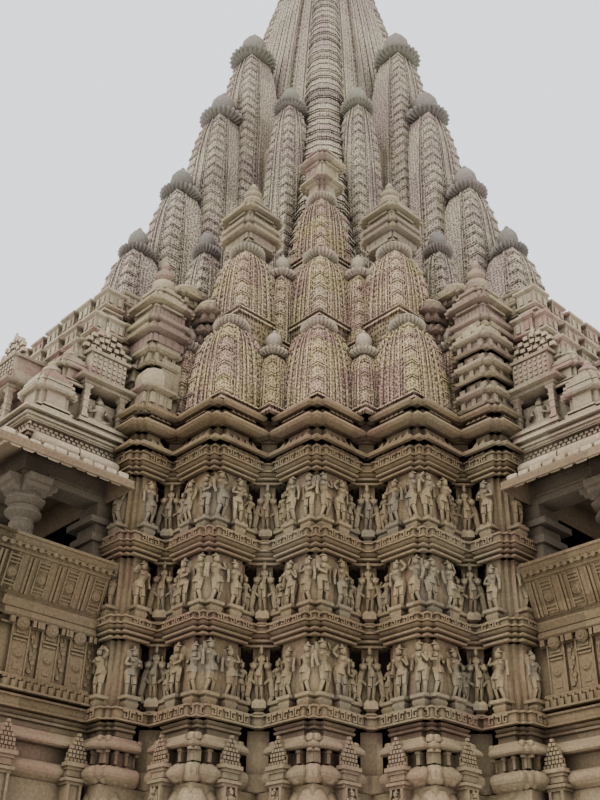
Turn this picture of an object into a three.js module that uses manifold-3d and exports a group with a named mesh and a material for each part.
import * as THREE from 'three';
import { mergeVertices } from 'three/addons/utils/BufferGeometryUtils.js';
import Module from 'manifold-3d';

// A stone shrine tower on a high plinth, in millimetres, +Z up, centred on the tower's axis at ground level.
// One side and one corner are described, and the others are the same pieces turned by quarter turns.
// In each outline a runs out along the side's axis (+X) and b runs across it (+Y).

// Plan of a corner: outer corners of its five piers, from one balcony round to the next.
const NARROW_PIER = { a: 6610, b: 2700, width: 500 };
const SIDE_PIER = { a: 5890, b: 3710, width: 800 };
const CORNER_PIER = { a: 4800, b: 4800, width: 800 };
const PIER_START = 2300; // where the narrow pier leaves the balcony's flank
const POCKET = 8400; // a + b on the back wall of the recesses between piers

// Room inside, with an arm out to each balcony.
const ROOM_HALF = 3200;
const ARM_HALF = 2000;
const WALL_END = 6600;

// Heights of the main courses.
const GROUND_TOP = 620;
const LOWER_PLINTH_TOP = 2500;
const UPPER_PLINTH_TOP = 4040;
const PLINTH_TOP = 4860;
const FLOOR = 5050;
const WALL_TOP = 9770;
const CORNER_JOINT = 12250; // bed joint between the lower and upper spires of a corner
const FACE_JOINT = 16000; // bed joint between the lower and upper spires of a face
const SPIRE_TOP = 28900;
const NECK_TOP = 29400;
const GREAT_DISC_TOP = 30150;
const SMALL_DISC_TOP = 30500;
const FINIAL_TOP = 31500;

// Balcony.
const BALCONY_HALF = 2270;
const BALCONY_OUT = 8270;
const PARAPET_THICK = 270;
const LEDGE_START = 6770; // mouldings on a balcony's flank begin clear of the narrow pier
const SEAT_TOP = 6180;
const SEAT_DEPTH = 520;
const SEAT_THICK = 180;
const RAIL_TOP = 7080;
const RAIL_THICK = 110;
const RAIL_LEAN = 290;
const PILLAR_CENTRE = { a: 8000, b: 2000 };
const PILLAR_WIDTH = 390;
const INNER_PILLAR_B = 690;
const CAPITAL_FOOT = 7560;
const SHAFT_RADIUS = 160;
const RING_RADIUS = 270;
const BRACKET = { depth: 190, reach: 400 };
const BEAM_BOTTOM = 8190;
const BEAM_TOP = 8640;
const EAVE_EDGE = 8200;
const EAVE_THICK = 130;
const EAVE_RISE = 460;
const EAVE_OUT = 9050;
const EAVE_HALF = 2950;
const ROOF_HALF = 2300;

const GAP = 0.3; // clearance between pieces that touch
const LAP = 10; // how far parts of one piece run into each other before they are joined

// Weathered sandstone, from the pale eaves to the shaded pillars.
const STONE = {
  ground: 0x9c8467, plinth: 0xa68e6f, torus: 0xb0977a, floor: 0x8d7a63, wall: 0xb59b7b, pillar: 0x7d6a55,
  eave: 0xb8a283, roof: 0xa08a6c, lowSpire: 0xa28c70, highSpire: 0x97826a, disc: 0x8b8570,
};

const wasm = await Module();
wasm.setup();

const QUARTER_TURN = Math.PI / 2;
const SIDES = ['right', 'back', 'left', 'front'];
const CORNERS = ['back_right', 'back_left', 'front_left', 'front_right'];
const tower = new THREE.Group();

function solid(geometry) {
  geometry.deleteAttribute('normal');
  geometry.deleteAttribute('uv');
  const merged = mergeVertices(geometry, 1e-3);
  return new wasm.Manifold(
    new wasm.Mesh({
      numProp: 3,
      vertProperties: new Float32Array(merged.attributes.position.array),
      triVerts: new Uint32Array(merged.index.array),
    }),
  );
}

function union(solids) {
  return solids.reduce((whole, next) => whole.add(next));
}

function addMesh(name, shape, colour, turn = 0) {
  const mesh = shape.getMesh();
  const geometry = new THREE.BufferGeometry();
  geometry.setAttribute('position', new THREE.BufferAttribute(new Float32Array(mesh.vertProperties), 3));
  geometry.setIndex(new THREE.BufferAttribute(new Uint32Array(mesh.triVerts), 1));
  const flat = geometry.toNonIndexed();
  flat.computeVertexNormals();
  const piece = new THREE.Mesh(
    flat,
    new THREE.MeshStandardMaterial({ color: colour, roughness: 0.9, metalness: 0 }),
  );
  piece.name = name;
  piece.rotation.z = turn * QUARTER_TURN;
  tower.add(piece);
}

function addFourSides(ending, shape, colour) {
  SIDES.forEach((side, turn) => addMesh(`${side}_${ending}`, shape, colour, turn));
}

function addFourCorners(ending, shape, colour) {
  CORNERS.forEach((corner, turn) => addMesh(`${corner}_${ending}`, shape, colour, turn));
}

function box(a0, a1, b0, b1, z0, z1) {
  const geometry = new THREE.BoxGeometry(a1 - a0, b1 - b0, z1 - z0);
  geometry.translate((a0 + a1) / 2, (b0 + b1) / 2, (z0 + z1) / 2);
  return solid(geometry);
}

function pointKey(x, y) {
  return `${Math.round(x * 10)},${Math.round(y * 10)}`;
}

// A solid through outlines of equal point count, one at each level.
function loft(levels) {
  const steps = levels.length - 1;
  const first = levels[0].points;
  const shape = new THREE.Shape(first.map(([x, y]) => new THREE.Vector2(x, y)));
  const geometry = new THREE.ExtrudeGeometry(shape, { depth: steps, steps, bevelEnabled: false });
  const position = geometry.attributes.position;
  const order = new Map(first.map(([x, y], i) => [pointKey(x, y), i]));
  for (let v = 0; v < position.count; v++) {
    const level = levels[Math.round(position.getZ(v))];
    const [x, y] = level.points[order.get(pointKey(position.getX(v), position.getY(v)))];
    position.setXYZ(v, x, y, level.z);
  }
  return solid(geometry);
}

function slab(points, z0, z1) {
  return loft([{ z: z0, points }, { z: z1, points }]);
}

function rectangle(a0, a1, b0, b1) {
  return [[a0, b0], [a1, b0], [a1, b1], [a0, b1]];
}

function lathe(profile, sides) {
  const points = profile.map(([r, z]) => new THREE.Vector2(r, z));
  return solid(new THREE.LatheGeometry(points, sides).rotateX(QUARTER_TURN));
}

// Staircase of a corner at a moulding that stands d out from the piers, from balcony to balcony.
function cornerSteps(d) {
  const half = [
    [NARROW_PIER.a + d, NARROW_PIER.b + d],
    [SIDE_PIER.a + d, NARROW_PIER.b + d],
    [SIDE_PIER.a + d, SIDE_PIER.b + d],
    [CORNER_PIER.a + d, SIDE_PIER.b + d],
  ];
  return [...half, [CORNER_PIER.a + d, CORNER_PIER.b + d], ...half.map(([a, b]) => [b, a]).reverse()];
}

// The same staircase at a tier of figures, with a recess behind and between the piers.
function tierSteps(d) {
  const half = [
    [NARROW_PIER.a + d, NARROW_PIER.b + d],
    [NARROW_PIER.a - NARROW_PIER.width - d, NARROW_PIER.b + d],
    [NARROW_PIER.a - NARROW_PIER.width - d, POCKET - NARROW_PIER.a + NARROW_PIER.width + d],
    [POCKET - SIDE_PIER.b + SIDE_PIER.width + d, SIDE_PIER.b - SIDE_PIER.width - d],
    [SIDE_PIER.a + d, SIDE_PIER.b - SIDE_PIER.width - d],
    [SIDE_PIER.a + d, SIDE_PIER.b + d],
    [SIDE_PIER.a - SIDE_PIER.width - d, SIDE_PIER.b + d],
    [SIDE_PIER.a - SIDE_PIER.width - d, POCKET - SIDE_PIER.a + SIDE_PIER.width + d],
    [POCKET - CORNER_PIER.b + CORNER_PIER.width + d, CORNER_PIER.b - CORNER_PIER.width - d],
    [CORNER_PIER.a + d, CORNER_PIER.b - CORNER_PIER.width - d],
  ];
  return [...half, [CORNER_PIER.a + d, CORNER_PIER.b + d], ...half.map(([a, b]) => [b, a]).reverse()];
}

// Plinth: four solid courses over the whole plan, stepped with the piers and the balconies above.
function wholePlan(d) {
  const points = [];
  for (let turn = 0; turn < 4; turn++) {
    const flank = [[BALCONY_OUT + d, BALCONY_HALF + d], [NARROW_PIER.a + d, BALCONY_HALF + d]];
    const quarter = [...flank, ...cornerSteps(d), ...flank.map(([a, b]) => [b, a]).reverse()];
    for (const [a, b] of quarter) {
      const [x, y] = [[a, b], [-b, a], [-a, -b], [b, -a]][turn];
      points.push([x, y]);
    }
  }
  return points;
}

function plinthCourse(levels) {
  return loft(levels.map(([z, d]) => ({ z, points: wholePlan(d) })));
}

// Each level is its height and how far it stands out from the piers.
addMesh('ground_course', plinthCourse([[0, 620], [GROUND_TOP, 620]]), STONE.ground);
addMesh(
  'lower_plinth',
  plinthCourse([
    [GROUND_TOP + GAP, 500], [1200, 500], [1200, 380], [1750, 300], [1750, 180], [LOWER_PLINTH_TOP, 180],
  ]),
  STONE.plinth,
);
addMesh(
  'upper_plinth',
  plinthCourse([[LOWER_PLINTH_TOP + GAP, 330], [2800, 330], [2800, 120], [UPPER_PLINTH_TOP, 120]]),
  STONE.plinth,
);
addMesh(
  'torus_course',
  plinthCourse([
    [UPPER_PLINTH_TOP + GAP, 130], [4130, 250], [4280, 250], [4370, 130], [4490, 130], [4490, 240],
    [4660, 160], [4660, 30], [PLINTH_TOP, 30],
  ]),
  STONE.torus,
);

// Floor of the room and its arms, laid inside the walls on the plinth.
const floorPlan = [];
for (let turn = 0; turn < 4; turn++) {
  const room = ROOM_HALF - GAP;
  const arm = ARM_HALF - GAP;
  const reach = BALCONY_OUT - PARAPET_THICK - GAP;
  for (const [a, b] of [[reach, -arm], [reach, arm], [room, arm], [arm, room]]) {
    floorPlan.push([[a, b], [-b, a], [-a, -b], [b, -a]][turn]);
  }
}
addMesh('floor', slab(floorPlan, PLINTH_TOP + GAP, FLOOR), STONE.floor);

// Corner walls: bands, three tiers of figures with recesses, and the two cornices.
function cornerPlan(steps, d) {
  const end = [
    [ROOM_HALF, ARM_HALF], [WALL_END, ARM_HALF], [WALL_END, PIER_START], [NARROW_PIER.a + d, PIER_START],
  ];
  return [...end, ...steps(d), ...end.map(([a, b]) => [b, a]).reverse()];
}

// Each course is its top, the staircase it follows and how far it stands out.
const WALL_COURSES = [
  [5240, cornerSteps, 100], [5920, tierSteps, -60], [6490, cornerSteps, 100], [7210, tierSteps, -60],
  [7830, cornerSteps, 100], [8540, tierSteps, -60], [9140, cornerSteps, 120], [9440, cornerSteps, -60],
  [WALL_TOP, cornerSteps, 140],
];
let courseFoot = PLINTH_TOP + GAP;
const wallParts = WALL_COURSES.map(([top, steps, d]) => {
  const course = slab(cornerPlan(steps, d), courseFoot, top);
  courseFoot = top;
  return course;
});
addFourCorners('wall', union(wallParts), STONE.wall);

// Balcony parapet: panelled wall, ledges, seat slab and the seat-back that leans out over it.
function ring({ foot, top, out0, out1, thick }) {
  const outer = (out) => rectangle(LEDGE_START, BALCONY_OUT + out, -BALCONY_HALF - out, BALCONY_HALF + out);
  const inner = (out) => {
    const reach = out - thick;
    return rectangle(LEDGE_START - LAP, BALCONY_OUT + reach, -BALCONY_HALF - reach, BALCONY_HALF + reach);
  };
  const lean = ((out1 - out0) * LAP) / (top - foot);
  return loft([{ z: foot, points: outer(out0) }, { z: top, points: outer(out1) }]).subtract(
    loft([{ z: foot - LAP, points: inner(out0 - lean) }, { z: top + LAP, points: inner(out1 + lean) }]),
  );
}

const FOOT_LEDGE = { foot: 5100, top: 5300, out0: 130, out1: 80, thick: 200 };
const SEAT_LEDGE = { foot: 6080, top: SEAT_TOP, out0: 110, out1: 110, thick: 200 };
const SEAT_BACK = { foot: SEAT_TOP, top: RAIL_TOP, out0: 70, out1: 70 + RAIL_LEAN, thick: RAIL_THICK };
const parapetRoom = box(0, BALCONY_OUT - PARAPET_THICK, -ARM_HALF, ARM_HALF, 0, SEAT_TOP - SEAT_THICK);
const seatWell = box(
  0, BALCONY_OUT - SEAT_DEPTH, -BALCONY_HALF + SEAT_DEPTH, BALCONY_HALF - SEAT_DEPTH, 0, RAIL_TOP,
);
const parapet = union([
  box(WALL_END + GAP, BALCONY_OUT, -BALCONY_HALF, BALCONY_HALF, PLINTH_TOP + GAP, SEAT_TOP)
    .subtract(parapetRoom)
    .subtract(seatWell),
  ring(FOOT_LEDGE),
  ring(SEAT_LEDGE),
  ring(SEAT_BACK),
]);
addFourSides('balcony_parapet', parapet, STONE.wall);

// Balcony pillars: a dwarf pillar with ring and bracket at each corner and two between, under the beam.
function pillar(a, b) {
  const half = PILLAR_WIDTH / 2;
  const ringTop = CAPITAL_FOOT + 230;
  const blockTop = CAPITAL_FOOT + 400;
  const round = lathe(
    [
      [0, SEAT_TOP + 120], [SHAFT_RADIUS, SEAT_TOP + 120], [SHAFT_RADIUS, CAPITAL_FOOT - 30],
      [RING_RADIUS, CAPITAL_FOOT + 90], [SHAFT_RADIUS, ringTop], [0, ringTop],
    ],
    8,
  ).translate([a, b, 0]);
  return union([
    box(a - half, a + half, b - half, b + half, SEAT_TOP + GAP, SEAT_TOP + 180),
    round,
    box(a - half, a + half, b - half, b + half, ringTop - LAP, blockTop),
    box(
      a - BRACKET.depth, a + BRACKET.depth, b - BRACKET.reach, b + BRACKET.reach, blockTop - LAP,
      BEAM_BOTTOM + LAP,
    ),
  ]);
}

const beamHalf = PILLAR_WIDTH / 2;
const beamOut = PILLAR_CENTRE.a + beamHalf;
const beams = box(
  WALL_END + GAP, beamOut, -PILLAR_CENTRE.b - beamHalf, PILLAR_CENTRE.b + beamHalf, BEAM_BOTTOM, BEAM_TOP,
).subtract(
  box(0, PILLAR_CENTRE.a - beamHalf, -PILLAR_CENTRE.b + beamHalf, PILLAR_CENTRE.b - beamHalf, 0, WALL_TOP),
);
const pillars = [-PILLAR_CENTRE.b, -INNER_PILLAR_B, INNER_PILLAR_B, PILLAR_CENTRE.b].map((b) => {
  return pillar(PILLAR_CENTRE.a, b);
});
addFourSides('balcony_pillars', union([beams, ...pillars]), STONE.pillar);

// Balcony eave: the sloping stones round three sides and the ceiling slab that they lean on.
const ceilingTop = EAVE_EDGE + EAVE_THICK + EAVE_RISE;
const CEILING_HALF = PILLAR_CENTRE.b + beamHalf;
const eaveTop = rectangle(LEDGE_START, beamOut, -CEILING_HALF, CEILING_HALF);
const eaveFoot = rectangle(LEDGE_START, EAVE_OUT, -EAVE_HALF, EAVE_HALF);
const eaveInside = rectangle(LEDGE_START, EAVE_OUT - LAP, LAP - EAVE_HALF, EAVE_HALF - LAP);
const eave = loft([
  { z: EAVE_EDGE, points: eaveFoot },
  { z: EAVE_EDGE + EAVE_THICK, points: eaveFoot },
  { z: ceilingTop, points: eaveTop },
])
  .subtract(loft([{ z: EAVE_EDGE, points: eaveInside }, { z: ceilingTop - EAVE_THICK, points: eaveTop }]))
  .add(box(WALL_END + GAP, beamOut - LAP, LAP - CEILING_HALF, CEILING_HALF - LAP, BEAM_TOP + GAP, ceilingTop));
addFourSides('balcony_eave', eave, STONE.eave);

// Balcony roof: cornice over the eave and the stepped pyramid behind it. Each step is its top, how far out
// it reaches and half its width. Behind LEDGE_START it is narrowed to stay clear of the corner's spires.
const ROOF_BACK_HALF = 2200;
const ROOF_STEPS = [
  [9020, 8300, ROOF_HALF], [9220, 8450, ROOF_HALF + 150], [9900, 7900, 2150], [10700, 7500, 2000],
  [11500, 7150, 1850], [12200, 6900, 1700],
];
let roofFoot = ceilingTop + GAP;
const roofParts = ROOF_STEPS.map(([top, out, half]) => {
  const narrow = Math.min(half, ROOF_BACK_HALF);
  const step = box(WALL_END + GAP, LEDGE_START + LAP, -narrow, narrow, roofFoot, top).add(
    box(LEDGE_START, out, -half, half, roofFoot, top),
  );
  roofFoot = top;
  return step;
});
addFourSides('balcony_roof', union(roofParts), STONE.roof);

// Spires. Half-widths of the main spire at its corners fall along this curve.
const MAIN_CURVE = [
  [WALL_TOP + GAP, 3550], [14000, 3000], [17000, 2500], [20100, 2050], [23900, 1620], [26400, 1300],
  [28200, 990], [SPIRE_TOP, 870],
];
const CENTRE_OFFSET = { half: 0.36, out: 1.1 };
const SECOND_OFFSET = { half: 0.7, out: 1.05 };

function mainPlan(half, grow) {
  const points = [];
  for (let turn = 0; turn < 4; turn++) {
    const quarter = [
      [half * CENTRE_OFFSET.out + grow, half * CENTRE_OFFSET.half + grow],
      [half * SECOND_OFFSET.out + grow, half * CENTRE_OFFSET.half + grow],
      [half * SECOND_OFFSET.out + grow, half * SECOND_OFFSET.half + grow],
      [half + grow, half * SECOND_OFFSET.half + grow],
    ];
    const mirrored = quarter.map(([a, b]) => [b, a]).reverse();
    for (const [a, b] of [...quarter, [half + grow, half + grow], ...mirrored]) {
      points.push([[a, b], [-b, a], [-a, -b], [b, -a]][turn]);
    }
  }
  return points;
}

function mainSpire(grow) {
  return loft(MAIN_CURVE.map(([z, half]) => ({ z, points: mainPlan(half, grow) })));
}

addMesh('main_spire', mainSpire(0), STONE.highSpire);

// A small spire: square body drawn in along a curve, ribbed disc and pot on top. The curve gives the share of
// the half-width left at each share of the height.
const BODY_CURVE = [[0, 1], [0.6, 0.95], [0.88, 0.8], [1, 0.6]];

function spire({ a, b, half, foot, neck, disc, discHeight = 280 }, grow) {
  const body = loft(
    BODY_CURVE.map(([t, share]) => {
      const w = half * share + grow;
      return { z: foot + (neck - foot) * t, points: rectangle(a - w, a + w, b - w, b + w) };
    }),
  );
  const r = disc + grow;
  const top = neck + discHeight + grow;
  const cap = lathe(
    [
      [0, neck - 60], [r * 0.72, neck - 60], [r, neck + discHeight / 2], [r * 0.6, top],
      [0, top + discHeight * 0.6],
    ],
    disc > 500 ? 10 : 6,
  ).translate([a, b, 0]);
  return body.add(cap);
}

// A pillared niche shrine: block, eave and pyramid roof.
const NICHE_EAVE = { spread: 1.3, thick: 120, peak: 0.3 };

function aedicule({ a, b, half, foot, eaveAt, top }) {
  const square = (share) => rectangle(a - half * share, a + half * share, b - half * share, b + half * share);
  return slab(square(1), foot, eaveAt).add(
    loft([
      { z: eaveAt - NICHE_EAVE.thick, points: square(NICHE_EAVE.spread) },
      { z: eaveAt, points: square(NICHE_EAVE.spread) },
      { z: top, points: square(NICHE_EAVE.peak) },
    ]),
  );
}

// Face spires: four half-spires climb each face over the balcony, with a thin pair at two levels. They stand on
// a stepped base, and each of its steps is its top, how far out it reaches and half its width.
const FACE_BACK = 3000;
const FACE_BASE = [
  [10800, 6600, 2250], [12200, 6600, 1700], [12900, 6500, 1550], [13500, 6150, 1400], [14000, 5700, 1350],
  [14500, 4700, 1350],
];
const FACE_SPIRES = [
  { a: 5460, half: 550, neck: 15000, disc: 400, discHeight: 300 },
  { a: 4530, half: 610, neck: 17200, disc: 480, discHeight: 340 },
  { a: 3540, half: 700, neck: 20240, disc: 570, discHeight: 380 },
  { a: 2680, half: 720, neck: 23050, disc: 640, discHeight: 400 },
].map((each) => ({ ...each, b: 0, foot: 11400 }));
for (const sign of [-1, 1]) {
  FACE_SPIRES.push(
    { a: 4660, b: sign * 1340, half: 340, foot: 11400, neck: 14700, disc: 320 },
    { a: 2580, b: sign * 1420, half: 420, foot: FACE_JOINT + GAP, neck: 20350, disc: 430 },
  );
}

// Masonry that ties the upper thin pair to the half-spire between them.
const FACE_WEB = { back: 2000, out: 2640, half: 1420, top: 19600 };

function faceMass(grow) {
  let foot = WALL_TOP + GAP;
  const steps = FACE_BASE.map(([top, out, half]) => {
    const step = box(FACE_BACK, out + grow, -half - grow, half + grow, foot, top + grow);
    foot = top - LAP;
    return step;
  });
  const web = box(FACE_WEB.back, FACE_WEB.out, -FACE_WEB.half, FACE_WEB.half, FACE_JOINT - LAP, FACE_WEB.top);
  return union([...steps, web, ...FACE_SPIRES.map((each) => spire(each, grow))]);
}

const below = (z) => box(-EAVE_OUT, EAVE_OUT, -EAVE_OUT, EAVE_OUT, 0, z);
const wholeFace = faceMass(0).subtract(mainSpire(GAP));
addFourSides('face_spires_lower', wholeFace.intersect(below(FACE_JOINT)), STONE.lowSpire);
addFourSides('face_spires_upper', wholeFace.subtract(below(FACE_JOINT + GAP)), STONE.highSpire);

// Corner spires: columns of spires stand over the piers, on a mass of masonry stepped like the wall.
const FLANK = 2250;
const LEVEL_ONE = { half: 480, foot: WALL_TOP + GAP, neck: 11520, disc: 330, discHeight: 290 };
const LEVEL_TWO = { half: 443, foot: CORNER_JOINT - 100, neck: 13620, disc: 350, discHeight: 290 };
const LEVEL_THREE = { half: 410, foot: 14200, neck: 15710, disc: 330, discHeight: 280 };
const THIN = { half: 270, disc: 280, discHeight: 230 };

function bothWays(places) {
  return places.flatMap((each) => [each, { ...each, a: each.b, b: each.a }]);
}

const CORNER_SPIRES = [
  { ...LEVEL_ONE, a: 4300, b: 4300 },
  { ...LEVEL_TWO, a: 3800, b: 3800 },
  { ...LEVEL_THREE, a: 3280, b: 3280 },
  ...bothWays([
    { ...LEVEL_ONE, a: 5400, b: 3280 },
    { ...LEVEL_TWO, a: 4870, b: 2930 },
    { ...THIN, a: 4300, b: 3300, foot: CORNER_JOINT - 100, neck: 13240 },
  ]),
];
const CORNER_AEDICULES = [
  { a: 3000, b: 3000, half: 300, foot: 15000, eaveAt: 17000, top: 17450 },
  ...bothWays([
    { a: 4560, b: 2640, half: 400, foot: 13800, eaveAt: 14600, top: 15250 },
    { a: 6330, b: 2480, half: 220, foot: WALL_TOP + GAP, eaveAt: 10900, top: 11400 },
  ]),
];

// Masonry behind the columns, set back from the piers by an inset that grows with each course.
const CARRIERS = [
  { inset: 600, foot: WALL_TOP + GAP, top: CORNER_JOINT },
  { inset: 1000, foot: CORNER_JOINT - LAP, top: 14350 },
  { inset: 1450, foot: 14350 - LAP, top: 15400 },
];
const NICHE_BASE = { from: 4800, to: 6300, width: 390, top: 10900 };

function carrier({ inset, foot, top }) {
  const steps = cornerSteps(-inset).filter(([a, b]) => a > FLANK && b > FLANK);
  const start = [[FLANK, FLANK], [steps[0][0], FLANK]];
  return slab([...start, ...steps, [FLANK, steps[0][0]]], foot, top);
}

const nicheSide = FLANK + NICHE_BASE.width;
const wholeCorner = union([
  ...CARRIERS.map(carrier),
  box(NICHE_BASE.from, NICHE_BASE.to, FLANK, nicheSide, WALL_TOP + GAP, NICHE_BASE.top),
  box(FLANK, nicheSide, NICHE_BASE.from, NICHE_BASE.to, WALL_TOP + GAP, NICHE_BASE.top),
  ...CORNER_SPIRES.map((each) => spire(each, 0)),
  ...CORNER_AEDICULES.map(aedicule),
]);
let fittedCorner = wholeCorner.subtract(mainSpire(GAP));
for (const turn of [0, 90]) {
  fittedCorner = fittedCorner.subtract(faceMass(GAP).rotate([0, 0, turn]));
}
fittedCorner = fittedCorner.intersect(box(FLANK + GAP, WALL_END, FLANK + GAP, WALL_END, 0, FINIAL_TOP));
addFourCorners('spires_lower', fittedCorner.intersect(below(CORNER_JOINT)), STONE.lowSpire);
addFourCorners('spires_upper', fittedCorner.subtract(below(CORNER_JOINT + GAP)), STONE.highSpire);

// Crown: neck, the great ribbed disc, a smaller disc and the pot finial, as profiles of radius and height.
addMesh(
  'neck',
  lathe([[0, SPIRE_TOP + GAP], [1000, SPIRE_TOP + GAP], [950, NECK_TOP], [0, NECK_TOP]], 20),
  STONE.highSpire,
);
addMesh(
  'great_disc',
  lathe(
    [
      [0, NECK_TOP + GAP], [1050, NECK_TOP + GAP], [1480, 29560], [1620, 29780], [1480, 30000],
      [1050, GREAT_DISC_TOP], [0, GREAT_DISC_TOP],
    ],
    24,
  ),
  STONE.disc,
);
addMesh(
  'small_disc',
  lathe(
    [
      [0, GREAT_DISC_TOP + GAP], [600, GREAT_DISC_TOP + GAP], [820, 30330], [600, SMALL_DISC_TOP],
      [0, SMALL_DISC_TOP],
    ],
    20,
  ),
  STONE.disc,
);
addMesh(
  'finial',
  lathe(
    [
      [0, SMALL_DISC_TOP + GAP], [280, SMALL_DISC_TOP + GAP], [460, 30700], [430, 30880], [180, 31030],
      [280, 31130], [120, 31250], [0, FINIAL_TOP],
    ],
    16,
  ),
  STONE.highSpire,
);

export default tower;
